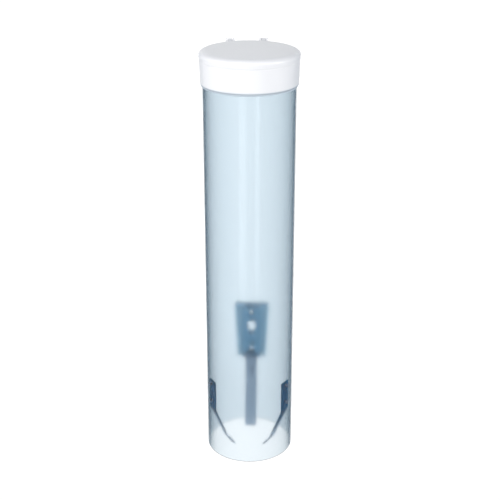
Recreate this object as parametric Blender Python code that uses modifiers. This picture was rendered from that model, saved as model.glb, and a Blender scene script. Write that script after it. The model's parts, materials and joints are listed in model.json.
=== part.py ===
"""Wall-mounted pull-type cup dispenser.

A frosted tube holds a stack of paper cups over three sprung fingers. A push-on cap with
a flip lid closes its top, and a tapered bracket riveted to its back drops into a channel
that is screwed to the wall.

Metres, +Z up. The wall is the plane y = 0 and the dispenser stands in front of it, at -Y.
The origin is on the wall plate's back face, MOUNT_HEIGHT above the tube's bottom rim.
Heights in the names below are measured from that rim, and depths from the tube's axis.
"""

import math

import bmesh
import bpy

# Fits
GAP = 0.0003                    # between neighbouring pieces
OVERRUN = 0.002                 # how far a cutter runs past what it cuts
WELD = 0.00001                  # points closer than this are one

# Tube
TUBE_RADIUS = 0.043             # outer
TUBE_WALL = 0.0018
TUBE_LENGTH = 0.397
TUBE_EDGE = 0.0005              # chamfer of the cut ends
TUBE_STEPS = 72

# Cap collar, which covers the top of the tube
COLLAR_LENGTH = 0.0238
COLLAR_TOP_WALL = 0.0022
COLLAR_FOOT_WALL = 0.0017
COLLAR_LIP_WALL = 0.0003        # left at the very bottom, below the foot's taper
COLLAR_TAPER = 0.0036           # height of that taper
COLLAR_SEAT = 0.002             # thickness of the ledge that rests on the tube
COLLAR_LEDGE_REACH = 0.0006     # how far the ledge reaches inside the tube's bore
COLLAR_EDGE = 0.0004
CAP_TURN = 5.5                  # degrees, how far the round cap is turned on the tube
CAP_STEPS = 72

# Flip lid
LID_OVERHANG = 0.0006           # how far its rim stands out past the collar
LID_HEIGHT = 0.0068
LID_BEAD_PROUD = 0.0003         # how far the bead stands out from the rim below it
LID_BEAD_DOWN = 0.0014          # how far the bead takes to run out below the rounded edge
LID_EDGE_IN = 0.0075            # the rounded top edge, inwards
LID_EDGE_DOWN = 0.0044          # and downwards
LID_TOP_WALL = 0.0022
LID_SKIRT_WALL = 0.0024
LID_PLUG_CLEARANCE = 0.0009     # between the plug ring and the collar's ledge
LID_PLUG_WALL = 0.0016
LID_PLUG_DROP = 0.003           # how far the plug ring hangs below the skirt
LID_EDGE_STEPS = 8              # points on the rounded top edge

# Hinge of the lid
HINGE_SPACING = 0.0314          # between the middles of the two hinges
HINGE_REACH = 0.0027            # from the lid's rim back to the pins
HINGE_DROP = 0.0008             # from the lid's top down to the pins
EAR_RADIUS = 0.0026
EAR_WALL = 0.0018
EAR_DROP = 0.011                # how far the ears run down the collar
KNUCKLE_RADIUS = 0.0022
KNUCKLE_WIDTH = 0.0038
ARM_HEIGHT = 0.0032
PIN_RADIUS = 0.001
PIN_PROUD = 0.0003
ROUND_STEPS = 20                # sides of small round things

# Fingers, each a riveted pad with a blade below it
FINGER_WIDTH = 0.012
FINGER_ANGLES = {"rear": 0.0, "left": 118.0, "right": -118.0}
REAR_FINGER_LIFT = 0.002        # the rear finger sits a little higher than the other two
PAD_BOTTOM = 0.0491
PAD_HEIGHT = 0.0307
PAD_WALL = 0.0015
PAD_CORNER = 0.002
CORNER_STEPS = 5
BLADE_WALL = 0.001
BLADE_LEAN = 21.0               # degrees from upright, where it leaves the pad
BLADE_STRAIGHT = 0.036
BLADE_CURL_RADIUS = 0.028
BLADE_CURL = 31.0               # degrees that the curl adds to the lean
BLADE_CURL_STEPS = 8
BLADE_TIP_CORNER = 0.0015

# Finger rivets, heads outside the tube and tails sunk into the pads
FINGER_RIVET_HEIGHTS = {"lower": 0.0573, "upper": 0.0761}
FINGER_RIVET_HEAD = 0.0019
FINGER_RIVET_DOME = 0.0007
FINGER_RIVET_SHANK = 0.0011
FINGER_RIVET_TAIL = 0.0019
FINGER_RIVET_TAIL_HEIGHT = 0.0004
FINGER_RIVET_SINK = 0.0008      # depth of the recess for the tail
DOME_STEPS = 4

# Wall plate, a tapered channel, and the bracket that drops into it
WALL_CLEARANCE = 0.0165         # wall to the back of the tube, enough for the lid to stand open
MOUNT_HEIGHT = 0.092
PLATE_BOTTOM = 0.0711
PLATE_HEIGHT = 0.0587
PLATE_TOP_WIDTH = 0.037
PLATE_FOOT_WIDTH = 0.0307
PLATE_WEB = 0.0025
PLATE_EDGE = 0.0006
RAIL_DEPTH = 0.006              # how far the side rails stand out from the web
RAIL_WALL = 0.0026
RAIL_UNDERCUT = 0.002           # how far the rails lean over the bracket
PLATE_LEDGE = 0.0021            # the stop below the bracket
BRACKET_PROUD = 0.0015          # how far the bracket stands above the plate's top
SADDLE_WIDTH = 0.019
WINDOW_WIDTH = 0.0095           # an upright window through bracket and plate
WINDOW_DROP = 0.0148            # from the plate's top down to the window's top in the bracket
WINDOW_HEIGHT = 0.0208
WINDOW_STEP = 0.005             # how much lower the window's top is in the plate
WINDOW_CORNER = 0.0025
SCREW_SLOT_INSET = 0.0086       # from either end of the plate to a slot's middle
SCREW_SLOT_LENGTH = 0.009
SCREW_SLOT_WIDTH = 0.0045
SCREW_SINK = 0.0012             # width of the countersink round a slot

# Bracket rivets, heads inside the tube, the lower one just above the rear finger's pad
BRACKET_RIVET_INSET = 0.005     # of the upper one, from the bracket's top
BRACKET_RIVET_HEAD = 0.003
BRACKET_RIVET_DOME = 0.0018
BRACKET_RIVET_SHANK = 0.0016
BRACKET_RIVET_TAIL = 0.0027
BRACKET_RIVET_TAIL_HEIGHT = 0.0009
BRACKET_RIVET_SINK = 0.002      # depth of the recess that hides the tail

# Sizes that follow from those above
TUBE_BORE = TUBE_RADIUS - TUBE_WALL
AXIS_DEPTH = TUBE_RADIUS + WALL_CLEARANCE
SOCKET_RADIUS = TUBE_RADIUS + GAP
LEDGE_RADIUS = TUBE_BORE - COLLAR_LEDGE_REACH
COLLAR_TOP = TUBE_LENGTH + GAP + COLLAR_SEAT
COLLAR_BOTTOM = COLLAR_TOP - COLLAR_LENGTH
LID_BOTTOM = COLLAR_TOP + GAP
LID_TOP = LID_BOTTOM + LID_HEIGHT
LID_RADIUS = SOCKET_RADIUS + COLLAR_TOP_WALL + LID_OVERHANG
HINGE_DEPTH = LID_RADIUS + HINGE_REACH
HINGE_HEIGHT = LID_TOP - HINGE_DROP
EAR_OFFSET = KNUCKLE_WIDTH / 2 + GAP + EAR_WALL / 2
PAD_OUTER = TUBE_BORE - GAP
PAD_INNER = PAD_OUTER - PAD_WALL
PAD_TOP = PAD_BOTTOM + PAD_HEIGHT
FLEX_RADIUS = (PAD_OUTER + PAD_INNER) / 2
FLEX_HEIGHT = PAD_BOTTOM - GAP - BLADE_WALL / 2
PLATE_TOP = PLATE_BOTTOM + PLATE_HEIGHT
WINDOW_TOP = PLATE_TOP - WINDOW_DROP
WINDOW_BOTTOM = WINDOW_TOP - WINDOW_HEIGHT
BRACKET_BOTTOM = PLATE_BOTTOM + PLATE_LEDGE + GAP
BRACKET_TOP = PLATE_TOP + BRACKET_PROUD
BRACKET_BACK = AXIS_DEPTH - PLATE_WEB - GAP
BRACKET_FRONT = AXIS_DEPTH - PLATE_WEB - RAIL_DEPTH
BRACKET_RIVET_HEIGHTS = {"lower": PAD_TOP + REAR_FINGER_LIFT + GAP + BRACKET_RIVET_HEAD,
                         "upper": BRACKET_TOP - BRACKET_RIVET_INSET}


def clear_scene():
    for item in list(bpy.data.objects):
        bpy.data.objects.remove(item, do_unlink=True)


def new_collection(name):
    collection = bpy.data.collections.new(name)
    bpy.context.scene.collection.children.link(collection)
    return collection


def new_material(name, colour, roughness, metallic=0.0):
    material = bpy.data.materials.new(name)
    material.use_nodes = True
    shader = material.node_tree.nodes["Principled BSDF"]
    shader.inputs["Base Color"].default_value = (*colour, 1.0)
    shader.inputs["Roughness"].default_value = roughness
    shader.inputs["Metallic"].default_value = metallic
    material.diffuse_color = (*colour, 1.0)
    return material


clear_scene()
PARTS = new_collection("cup_dispenser")
CUTTERS = new_collection("cutters")
FROSTED = new_material("frosted_tube", (0.74, 0.85, 0.92), 0.45)
WHITE = new_material("cap_white", (0.92, 0.93, 0.95), 0.35)
FINGER = new_material("finger_blue", (0.22, 0.34, 0.46), 0.45)
FINGER_RIVET = new_material("rivet_blue", (0.26, 0.38, 0.50), 0.4)
BRACKET = new_material("bracket_blue", (0.30, 0.43, 0.54), 0.5)
RIVET = new_material("rivet_metal", (0.72, 0.74, 0.76), 0.35, 1.0)
PIN = new_material("pin_steel", (0.62, 0.64, 0.66), 0.3, 1.0)


def empty(name, location, parent=None, turn=0.0):
    """A bare frame that carries pieces; turn is in degrees about Z."""
    frame = bpy.data.objects.new(name, None)
    PARTS.objects.link(frame)
    frame.location = location
    frame.rotation_euler = (0.0, 0.0, math.radians(turn))
    frame.parent = parent
    return frame


def place(item, material, parent, location=(0.0, 0.0, 0.0)):
    """Puts a piece in the parts, or with no material among the cutters."""
    target = PARTS if material else CUTTERS
    target.objects.link(item)
    item.location = location
    item.parent = parent
    if material:
        item.data.materials.append(material)
    else:
        item.hide_render = True
        item.display_type = "WIRE"
    return item


def smooth(item, angle=40.0):
    item.data.shade_smooth()
    item.data.set_sharp_from_angle(angle=math.radians(angle))


def turned(name, profile, material, parent, steps, location=(0.0, 0.0, 0.0), closed=False):
    """Turns a profile of (radius, height) points about Z, outer side first, top to bottom."""
    mesh = bpy.data.meshes.new(name)
    count = len(profile)
    edges = [(i, i + 1) for i in range(count - 1)]
    if closed:
        edges.append((count - 1, 0))
    mesh.from_pydata([(radius, 0.0, height) for radius, height in profile], edges, [])
    item = bpy.data.objects.new(name, mesh)
    place(item, material, parent, location)
    screw = item.modifiers.new("turn", "SCREW")
    screw.steps = steps
    screw.render_steps = steps
    screw.use_merge_vertices = True
    screw.merge_threshold = WELD
    screw.use_smooth_shade = True
    return item


def prism(name, outline, thickness, material, parent, rotation, location=(0.0, 0.0, 0.0)):
    """A flat outline, extruded half its thickness each way, then made a mesh."""
    curve = bpy.data.curves.new(name, "CURVE")
    curve.dimensions = "2D"
    curve.fill_mode = "BOTH"
    curve.extrude = thickness / 2
    spline = curve.splines.new("POLY")
    spline.points.add(len(outline) - 1)
    for point, (across, up) in zip(spline.points, outline):
        point.co = (across, up, 0.0, 1.0)
    spline.use_cyclic_u = True
    source = bpy.data.objects.new(name + "_outline", curve)
    bpy.context.scene.collection.objects.link(source)
    bpy.context.view_layer.update()
    graph = bpy.context.evaluated_depsgraph_get()
    mesh = bpy.data.meshes.new_from_object(source.evaluated_get(graph))
    bpy.data.objects.remove(source, do_unlink=True)
    work = bmesh.new()
    work.from_mesh(mesh)
    bmesh.ops.remove_doubles(work, verts=work.verts, dist=WELD)
    bmesh.ops.recalc_face_normals(work, faces=work.faces)
    work.to_mesh(mesh)
    work.free()
    mesh.name = name
    mesh.materials.clear()
    item = bpy.data.objects.new(name, mesh)
    place(item, material, parent, location)
    item.rotation_euler = rotation
    return item


# Which way an outline faces: across and up are X and Z, or Y and Z
FACING_Y = (math.pi / 2, 0.0, 0.0)
FACING_X = (math.pi / 2, 0.0, math.pi / 2)


def cylinder(name, radius, start, end, material, parent, along="Z", offset=(0.0, 0.0, 0.0)):
    """A round bar from start to end along Z, Y or X, its axis moved by offset."""
    mesh = bpy.data.meshes.new(name)
    work = bmesh.new()
    bmesh.ops.create_cone(work, cap_ends=True, segments=ROUND_STEPS, radius1=radius, radius2=radius,
                          depth=end - start)
    work.to_mesh(mesh)
    work.free()
    item = bpy.data.objects.new(name, mesh)
    middle = (start + end) / 2
    x, y, z = offset
    if along == "X":
        place(item, material, parent, (x + middle, y, z))
        item.rotation_euler = (0.0, math.pi / 2, 0.0)
    elif along == "Y":
        place(item, material, parent, (x, y + middle, z))
        item.rotation_euler = (-math.pi / 2, 0.0, 0.0)
    else:
        place(item, material, parent, (x, y, z + middle))
    smooth(item)
    return item


def block(name, half_width, front, back, bottom, top, material, parent):
    """A box whose half width is a function of depth and height."""
    mesh = bpy.data.meshes.new(name)
    work = bmesh.new()
    bmesh.ops.create_cube(work, size=1.0)
    for vertex in work.verts:
        depth = back if vertex.co.y > 0.0 else front
        height = top if vertex.co.z > 0.0 else bottom
        side = 1.0 if vertex.co.x > 0.0 else -1.0
        vertex.co = (side * half_width(depth, height), depth, height)
    work.to_mesh(mesh)
    work.free()
    item = bpy.data.objects.new(name, mesh)
    return place(item, material, parent)


def join(target, other, operation="DIFFERENCE"):
    change = target.modifiers.new(operation.lower(), "BOOLEAN")
    change.operation = operation
    change.solver = "EXACT"
    change.object = other


def arc(centre, radius, start, end, steps, squash=1.0):
    """Points on an arc, angles in degrees; squash flattens it upwards."""
    points = []
    for i in range(steps + 1):
        angle = math.radians(start + (end - start) * i / steps)
        points.append((centre[0] + radius * math.cos(angle),
                       centre[1] + radius * squash * math.sin(angle)))
    return points


def rounded_box(width, bottom, top, corner, steps=CORNER_STEPS):
    """The outline of a rounded rectangle, centred across and from bottom to top."""
    side = width / 2 - corner
    points = arc((side, bottom + corner), corner, -90.0, 0.0, steps)
    points += arc((side, top - corner), corner, 0.0, 90.0, steps)
    points += arc((-side, top - corner), corner, 90.0, 180.0, steps)
    points += arc((-side, bottom + corner), corner, 180.0, 270.0, steps)
    return points


def rivet(name, material, parent, height, head_face, tail_face, head, dome, shank, tail, tail_height):
    """A domed rivet along Y. Its head is outside where head_face is beyond tail_face."""
    out = 1.0 if head_face > tail_face else -1.0
    profile = []
    for i in range(DOME_STEPS + 1):
        angle = math.pi / 2 * (1.0 - i / DOME_STEPS)
        profile.append((head * math.cos(angle), head_face + out * dome * math.sin(angle)))
    profile[0] = (0.0, head_face + out * dome)
    profile += [(shank, head_face), (shank, tail_face), (tail, tail_face)]
    profile += [(tail, tail_face - out * tail_height), (0.0, tail_face - out * tail_height)]
    if out < 0.0:
        profile.reverse()
    item = turned(name, profile, material, parent, ROUND_STEPS, (0.0, 0.0, height))
    item.rotation_euler = (-math.pi / 2, 0.0, 0.0)
    return item


def sag(radius, reach):
    """How far a round wall of this radius falls away over a reach to one side."""
    return radius - math.sqrt(radius ** 2 - reach ** 2)


DISPENSER = empty("dispenser_frame", (0.0, -AXIS_DEPTH, -MOUNT_HEIGHT))
CAP = empty("cap_frame", (0.0, 0.0, 0.0), DISPENSER, CAP_TURN)
LID_AXIS = empty("lid_axis", (0.0, HINGE_DEPTH, HINGE_HEIGHT), CAP)


def make_tube():
    outer = TUBE_RADIUS
    inner = TUBE_BORE
    edge = TUBE_EDGE
    profile = [
        (outer - edge, TUBE_LENGTH), (outer, TUBE_LENGTH - edge),
        (outer, edge), (outer - edge, 0.0),
        (inner + edge, 0.0), (inner, edge),
        (inner, TUBE_LENGTH - edge), (inner + edge, TUBE_LENGTH),
    ]
    return turned("tube", profile, FROSTED, DISPENSER, TUBE_STEPS, closed=True)


def make_collar():
    """A ring with a ledge that rests on the tube, and two pairs of hinge ears behind."""
    top_radius = SOCKET_RADIUS + COLLAR_TOP_WALL
    foot_radius = SOCKET_RADIUS + COLLAR_FOOT_WALL
    lip_radius = SOCKET_RADIUS + COLLAR_LIP_WALL
    foot = COLLAR_BOTTOM + COLLAR_TAPER
    taper = arc((lip_radius, foot), foot_radius - lip_radius, 0.0, -90.0, CORNER_STEPS,
                COLLAR_TAPER / (foot_radius - lip_radius))
    profile = [(0.0, COLLAR_TOP), (top_radius - COLLAR_EDGE, COLLAR_TOP),
               (top_radius, COLLAR_TOP - COLLAR_EDGE)]
    profile += taper
    profile += [(0.0, COLLAR_BOTTOM)]
    collar = turned("cap_collar", profile, WHITE, CAP, CAP_STEPS)

    # The ears' outline runs from inside the collar's wall out to a round end at the pins
    root = TUBE_RADIUS / 2
    foot_height = COLLAR_TOP - EAR_DROP
    outline = [(root, foot_height), (TUBE_RADIUS, foot_height)]
    outline += arc((HINGE_DEPTH, HINGE_HEIGHT), EAR_RADIUS, -30.0, 180.0, CORNER_STEPS * 2)
    shoulder = COLLAR_TOP - COLLAR_EDGE
    outline += [(HINGE_DEPTH - EAR_RADIUS, shoulder), (root, shoulder)]
    for hinge_side in (-1.0, 1.0):
        for ear_side in (-1.0, 1.0):
            across = hinge_side * HINGE_SPACING / 2 + ear_side * EAR_OFFSET
            ear = prism("ear_stock", outline, EAR_WALL, None, CAP, FACING_X, (across, 0.0, 0.0))
            join(collar, ear, "UNION")

    top = COLLAR_TOP + OVERRUN
    ledge = TUBE_LENGTH + GAP
    bore_profile = [(0.0, top), (LEDGE_RADIUS, top), (LEDGE_RADIUS, ledge), (SOCKET_RADIUS, ledge),
                    (SOCKET_RADIUS, COLLAR_BOTTOM - OVERRUN), (0.0, COLLAR_BOTTOM - OVERRUN)]
    bore = turned("collar_bore_cutter", bore_profile, None, CAP, CAP_STEPS)
    join(collar, bore)
    join(collar, make_pin_bore())
    return collar


def make_pin_bore():
    reach = HINGE_SPACING / 2 + EAR_OFFSET + EAR_WALL + OVERRUN
    return cylinder("pin_bore_cutter", PIN_RADIUS + GAP, -reach, reach, None, LID_AXIS, "X")


def make_lid():
    """A round lid with a skirt, a plug ring under it and two arms that reach the pins."""
    rim = LID_RADIUS - LID_BEAD_PROUD
    under = LID_TOP - LID_TOP_WALL
    bead = LID_TOP - LID_EDGE_DOWN
    skirt = rim - LID_SKIRT_WALL
    plug = LEDGE_RADIUS - LID_PLUG_CLEARANCE
    plug_inner = plug - LID_PLUG_WALL
    plug_bottom = LID_BOTTOM - LID_PLUG_DROP
    flat = LID_RADIUS - LID_EDGE_IN
    profile = [(0.0, LID_TOP)]
    profile += arc((flat, bead), LID_EDGE_IN, 90.0, 0.0, LID_EDGE_STEPS, LID_EDGE_DOWN / LID_EDGE_IN)
    profile += [(rim, bead - LID_BEAD_DOWN), (rim, LID_BOTTOM), (skirt, LID_BOTTOM)]
    profile += [(skirt, under), (plug, under), (plug, plug_bottom)]
    profile += [(plug_inner, plug_bottom), (plug_inner, under), (0.0, under)]
    lid = turned("flip_lid", profile, WHITE, LID_AXIS, CAP_STEPS, (0.0, -HINGE_DEPTH, -HINGE_HEIGHT))

    # Each arm's outline is drawn from the pins, and starts at the inside of the lid's skirt
    outer_side = HINGE_SPACING / 2 + KNUCKLE_WIDTH / 2
    root = math.sqrt(skirt ** 2 - outer_side ** 2) - HINGE_DEPTH
    outline = [(root, 0.0), (root, -ARM_HEIGHT)]
    outline += arc((0.0, 0.0), KNUCKLE_RADIUS, -110.0, 110.0, CORNER_STEPS * 2)
    for side in (-1.0, 1.0):
        arm = prism("arm_stock", outline, KNUCKLE_WIDTH, None, LID_AXIS, FACING_X,
                    (side * HINGE_SPACING / 2, 0.0, 0.0))
        join(lid, arm, "UNION")
    join(lid, make_pin_bore())
    return lid


def make_hinge_pins():
    half = EAR_OFFSET + EAR_WALL / 2 + PIN_PROUD
    for side, sign in (("left", -1.0), ("right", 1.0)):
        middle = (sign * HINGE_SPACING / 2, HINGE_DEPTH, HINGE_HEIGHT)
        cylinder("hinge_pin_" + side, PIN_RADIUS, -half, half, PIN, CAP, "X", middle)


def blade_path():
    """Middle line of a blade as (depth, height, lean) from its flex line."""
    lean = math.radians(BLADE_LEAN)
    depth = -BLADE_STRAIGHT * math.sin(lean)
    height = -BLADE_STRAIGHT * math.cos(lean)
    path = [(0.0, 0.0, lean), (depth, height, lean)]
    for i in range(1, BLADE_CURL_STEPS + 1):
        turn = lean + math.radians(BLADE_CURL) * i / BLADE_CURL_STEPS
        path.append((depth - BLADE_CURL_RADIUS * (math.cos(lean) - math.cos(turn)),
                     height - BLADE_CURL_RADIUS * (math.sin(turn) - math.sin(lean)), turn))
    return path


def blade_outline():
    """The path with its thickness, and a round head about the flex line."""
    half = BLADE_WALL / 2
    path = blade_path()
    outer = [(y + half * math.cos(lean), z - half * math.sin(lean)) for y, z, lean in path]
    inner = [(y - half * math.cos(lean), z + half * math.sin(lean)) for y, z, lean in path]
    head = arc((0.0, 0.0), half, 180.0 - BLADE_LEAN, -BLADE_LEAN, CORNER_STEPS)
    return head[1:-1] + outer + inner[::-1]


def make_finger(side, angle, tube, bracket):
    """One finger at a turn about the tube: pad, blade and two rivets."""
    lift = REAR_FINGER_LIFT if side == "rear" else 0.0
    frame = empty("finger_frame_" + side, (0.0, 0.0, lift), DISPENSER, angle)
    flex = empty("flex_axis_" + side, (0.0, FLEX_RADIUS, FLEX_HEIGHT), frame)

    # The pad is a ring that follows the bore, cut to a rounded rectangle
    ring = [(PAD_OUTER, PAD_TOP + OVERRUN), (PAD_OUTER, PAD_BOTTOM - OVERRUN),
            (PAD_INNER, PAD_BOTTOM - OVERRUN), (PAD_INNER, PAD_TOP + OVERRUN)]
    pad = turned("finger_pad_" + side, ring, FINGER, frame, TUBE_STEPS, closed=True)
    outline = rounded_box(FINGER_WIDTH, PAD_BOTTOM, PAD_TOP, PAD_CORNER)
    window = prism("pad_window", outline, TUBE_RADIUS / 2, None, frame, FACING_Y, (0.0, PAD_OUTER, 0.0))
    join(pad, window, "INTERSECT")

    blade = prism("finger_blade_" + side, blade_outline(), FINGER_WIDTH, FINGER, flex, FACING_X)
    path = blade_path()
    drop = path[-1][1] - BLADE_WALL / 2
    outline = rounded_box(FINGER_WIDTH + GAP, drop, FINGER_WIDTH, BLADE_TIP_CORNER)
    window = prism("blade_window", outline, TUBE_RADIUS * 2, None, flex, FACING_Y)
    join(blade, window, "INTERSECT")
    smooth(blade)

    recess = PAD_INNER + FINGER_RIVET_SINK
    for level, height in FINGER_RIVET_HEIGHTS.items():
        rivet("finger_rivet_" + side + "_" + level, FINGER_RIVET, frame, height, SOCKET_RADIUS,
              recess - GAP, FINGER_RIVET_HEAD, FINGER_RIVET_DOME, FINGER_RIVET_SHANK,
              FINGER_RIVET_TAIL, FINGER_RIVET_TAIL_HEIGHT)
        hole = cylinder("rivet_hole_cutter", FINGER_RIVET_SHANK + GAP, PAD_INNER - OVERRUN,
                        TUBE_RADIUS + OVERRUN, None, frame, "Y", (0.0, 0.0, height))
        join(tube, hole)
        join(pad, hole)
        sink = cylinder("rivet_sink_cutter", FINGER_RIVET_TAIL + GAP, PAD_INNER - OVERRUN, recess,
                        None, frame, "Y", (0.0, 0.0, height))
        join(pad, sink)
        if side == "rear" and level == "upper":
            relief = cylinder("head_relief_cutter", FINGER_RIVET_HEAD + 2 * GAP, TUBE_RADIUS - OVERRUN,
                              SOCKET_RADIUS + FINGER_RIVET_DOME + 2 * GAP, None, frame, "Y",
                              (0.0, 0.0, height))
            join(bracket, relief)


def plate_half_width(height):
    share = (height - PLATE_BOTTOM) / PLATE_HEIGHT
    return (PLATE_FOOT_WIDTH + (PLATE_TOP_WIDTH - PLATE_FOOT_WIDTH) * share) / 2


def channel_half_width(depth, height):
    """The channel is widest at the web, and the rails lean over it towards the front."""
    share = (AXIS_DEPTH - PLATE_WEB - depth) / RAIL_DEPTH
    return plate_half_width(height) - RAIL_WALL - RAIL_UNDERCUT * share


def slot_outline(length, width, height):
    """A slot with round ends, lying across at a height."""
    half = (length - width) / 2
    points = arc((half, height), width / 2, -90.0, 90.0, CORNER_STEPS * 2)
    return points + arc((-half, height), width / 2, 90.0, 270.0, CORNER_STEPS * 2)


def make_wall_plate():
    front = AXIS_DEPTH - PLATE_WEB - RAIL_DEPTH
    floor = AXIS_DEPTH - PLATE_WEB
    base = empty("wall_frame", (0.0, -AXIS_DEPTH, -MOUNT_HEIGHT))
    plate = block("wall_plate", lambda depth, height: plate_half_width(height),
                  front, AXIS_DEPTH, PLATE_BOTTOM, PLATE_TOP, BRACKET, base)
    bevel = plate.modifiers.new("edges", "BEVEL")
    bevel.width = PLATE_EDGE
    bevel.segments = 2
    bevel.limit_method = "ANGLE"
    channel = block("channel_cutter", channel_half_width, front - OVERRUN, floor,
                    PLATE_BOTTOM + PLATE_LEDGE, PLATE_TOP + OVERRUN, None, base)
    join(plate, channel)
    outline = rounded_box(WINDOW_WIDTH, WINDOW_BOTTOM, WINDOW_TOP - WINDOW_STEP, WINDOW_CORNER)
    window = prism("plate_window_cutter", outline, AXIS_DEPTH, None, base, FACING_Y, (0.0, AXIS_DEPTH, 0.0))
    join(plate, window)
    for height in (PLATE_BOTTOM + SCREW_SLOT_INSET, PLATE_TOP - SCREW_SLOT_INSET):
        through = prism("screw_slot_cutter", slot_outline(SCREW_SLOT_LENGTH, SCREW_SLOT_WIDTH, height),
                        AXIS_DEPTH, None, base, FACING_Y, (0.0, AXIS_DEPTH, 0.0))
        join(plate, through)
        wide = slot_outline(SCREW_SLOT_LENGTH + 2 * SCREW_SINK, SCREW_SLOT_WIDTH + 2 * SCREW_SINK, height)
        sink = prism("screw_sink_cutter", wide, PLATE_WEB, None, base, FACING_Y, (0.0, floor, 0.0))
        join(plate, sink)
    return plate


def make_tube_bracket():
    """A dovetail wedge for the channel, with a saddle that follows the back of the tube."""
    def wedge_half_width(depth, height):
        return channel_half_width(depth, height) - GAP

    bracket = block("tube_bracket", wedge_half_width, BRACKET_FRONT, BRACKET_BACK,
                    BRACKET_BOTTOM, BRACKET_TOP, BRACKET, DISPENSER)
    saddle = block("saddle_stock", lambda depth, height: SADDLE_WIDTH / 2, TUBE_BORE,
                   (BRACKET_FRONT + BRACKET_BACK) / 2, BRACKET_BOTTOM, BRACKET_TOP, None, DISPENSER)
    join(bracket, saddle, "UNION")
    seat_profile = [(0.0, BRACKET_TOP + OVERRUN), (SOCKET_RADIUS, BRACKET_TOP + OVERRUN),
                    (SOCKET_RADIUS, BRACKET_BOTTOM - OVERRUN), (0.0, BRACKET_BOTTOM - OVERRUN)]
    join(bracket, turned("saddle_cutter", seat_profile, None, DISPENSER, TUBE_STEPS))
    outline = rounded_box(WINDOW_WIDTH, WINDOW_BOTTOM, WINDOW_TOP, WINDOW_CORNER)
    window = prism("bracket_window_cutter", outline, AXIS_DEPTH, None, DISPENSER, FACING_Y,
                   (0.0, AXIS_DEPTH, 0.0))
    join(bracket, window)
    return bracket


def make_bracket_rivets(tube, bracket):
    """Each rivet's head is on the tube's bore and its tail in a recess in the bracket's back."""
    recess = BRACKET_BACK - BRACKET_RIVET_SINK
    head_face = TUBE_BORE - GAP - sag(TUBE_BORE, BRACKET_RIVET_HEAD)
    for level, height in BRACKET_RIVET_HEIGHTS.items():
        rivet("bracket_rivet_" + level, RIVET, DISPENSER, height, head_face, recess + GAP,
              BRACKET_RIVET_HEAD, BRACKET_RIVET_DOME, BRACKET_RIVET_SHANK,
              BRACKET_RIVET_TAIL, BRACKET_RIVET_TAIL_HEIGHT)
        hole = cylinder("bracket_rivet_cutter", BRACKET_RIVET_SHANK + GAP, TUBE_BORE - OVERRUN,
                        BRACKET_BACK + OVERRUN, None, DISPENSER, "Y", (0.0, 0.0, height))
        join(tube, hole)
        join(bracket, hole)
        sink = cylinder("tail_sink_cutter", BRACKET_RIVET_TAIL + GAP, recess,
                        BRACKET_BACK + OVERRUN, None, DISPENSER, "Y", (0.0, 0.0, height))
        join(bracket, sink)


def main():
    tube = make_tube()
    make_collar()
    make_lid()
    make_hinge_pins()
    make_wall_plate()
    bracket = make_tube_bracket()
    make_bracket_rivets(tube, bracket)
    for side, angle in FINGER_ANGLES.items():
        make_finger(side, angle, tube, bracket)
    bpy.context.view_layer.update()


main()
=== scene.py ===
"""Looks of the wall-mounted cup dispenser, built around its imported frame.

Metres, +Z up. The wall is the plane y = 0 and the tube stands in front of it, at -Y.
Heights in the names below are measured from the tube's bottom rim, and depths from its axis.
"""
import json
import math

import bmesh
import bpy
from mathutils import Matrix, Vector


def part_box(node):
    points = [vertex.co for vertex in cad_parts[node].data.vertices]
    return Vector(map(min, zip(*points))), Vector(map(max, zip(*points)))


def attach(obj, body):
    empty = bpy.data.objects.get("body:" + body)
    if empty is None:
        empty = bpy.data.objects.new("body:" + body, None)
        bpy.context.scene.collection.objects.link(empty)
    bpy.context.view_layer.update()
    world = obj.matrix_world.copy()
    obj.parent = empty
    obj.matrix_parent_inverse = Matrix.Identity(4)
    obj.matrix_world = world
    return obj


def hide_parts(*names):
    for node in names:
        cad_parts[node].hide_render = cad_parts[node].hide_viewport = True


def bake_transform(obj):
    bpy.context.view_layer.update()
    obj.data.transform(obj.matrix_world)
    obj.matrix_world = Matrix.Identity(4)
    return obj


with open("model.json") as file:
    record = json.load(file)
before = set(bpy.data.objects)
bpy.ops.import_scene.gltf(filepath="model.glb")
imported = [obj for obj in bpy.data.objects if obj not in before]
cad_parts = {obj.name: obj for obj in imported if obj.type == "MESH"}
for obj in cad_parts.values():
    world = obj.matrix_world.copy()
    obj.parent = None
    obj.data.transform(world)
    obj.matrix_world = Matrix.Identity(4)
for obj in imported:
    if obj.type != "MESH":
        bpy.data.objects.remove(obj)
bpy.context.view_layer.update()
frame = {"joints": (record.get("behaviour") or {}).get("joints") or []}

# Fits
GAP = 0.0003                    # between neighbouring pieces
FINE_GAP = 0.00005              # where two pieces look as if they touch
OVERRUN = 0.002                 # how far a cutter runs past what it cuts
WELD = 0.00001                  # points closer than this are one

# Steps of round forms
EDGE_STEPS = 4                  # on a small rounded edge
CURVE_EDGE_STEPS = 2            # the same on a curve with thickness
CORNER_STEPS = 8
TUBE_STEPS = 256
CAP_STEPS = 192
COLLAR_EDGE_STEPS = 5
COLLAR_FOOT_STEPS = 12
LID_EDGE_STEPS = 20
HINGE_STEPS = 24
RIVET_STEPS = 48
DOME_STEPS = 10
SLOT_STEPS = 16                 # round each end
SHARP_ANGLE = 35.0              # degrees, edges sharper than this aren't shaded smooth

# Tube
TUBE_LOW, TUBE_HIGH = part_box("tube")
TUBE_RADIUS = (TUBE_HIGH.x - TUBE_LOW.x) / 2
TUBE_LENGTH = TUBE_HIGH.z - TUBE_LOW.z
AXIS_Y = (TUBE_HIGH.y + TUBE_LOW.y) / 2
TUBE_WALL = 0.0018
TUBE_BORE = TUBE_RADIUS - TUBE_WALL
TUBE_EDGE = 0.0005
TUBE_ROWS = 36

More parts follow.
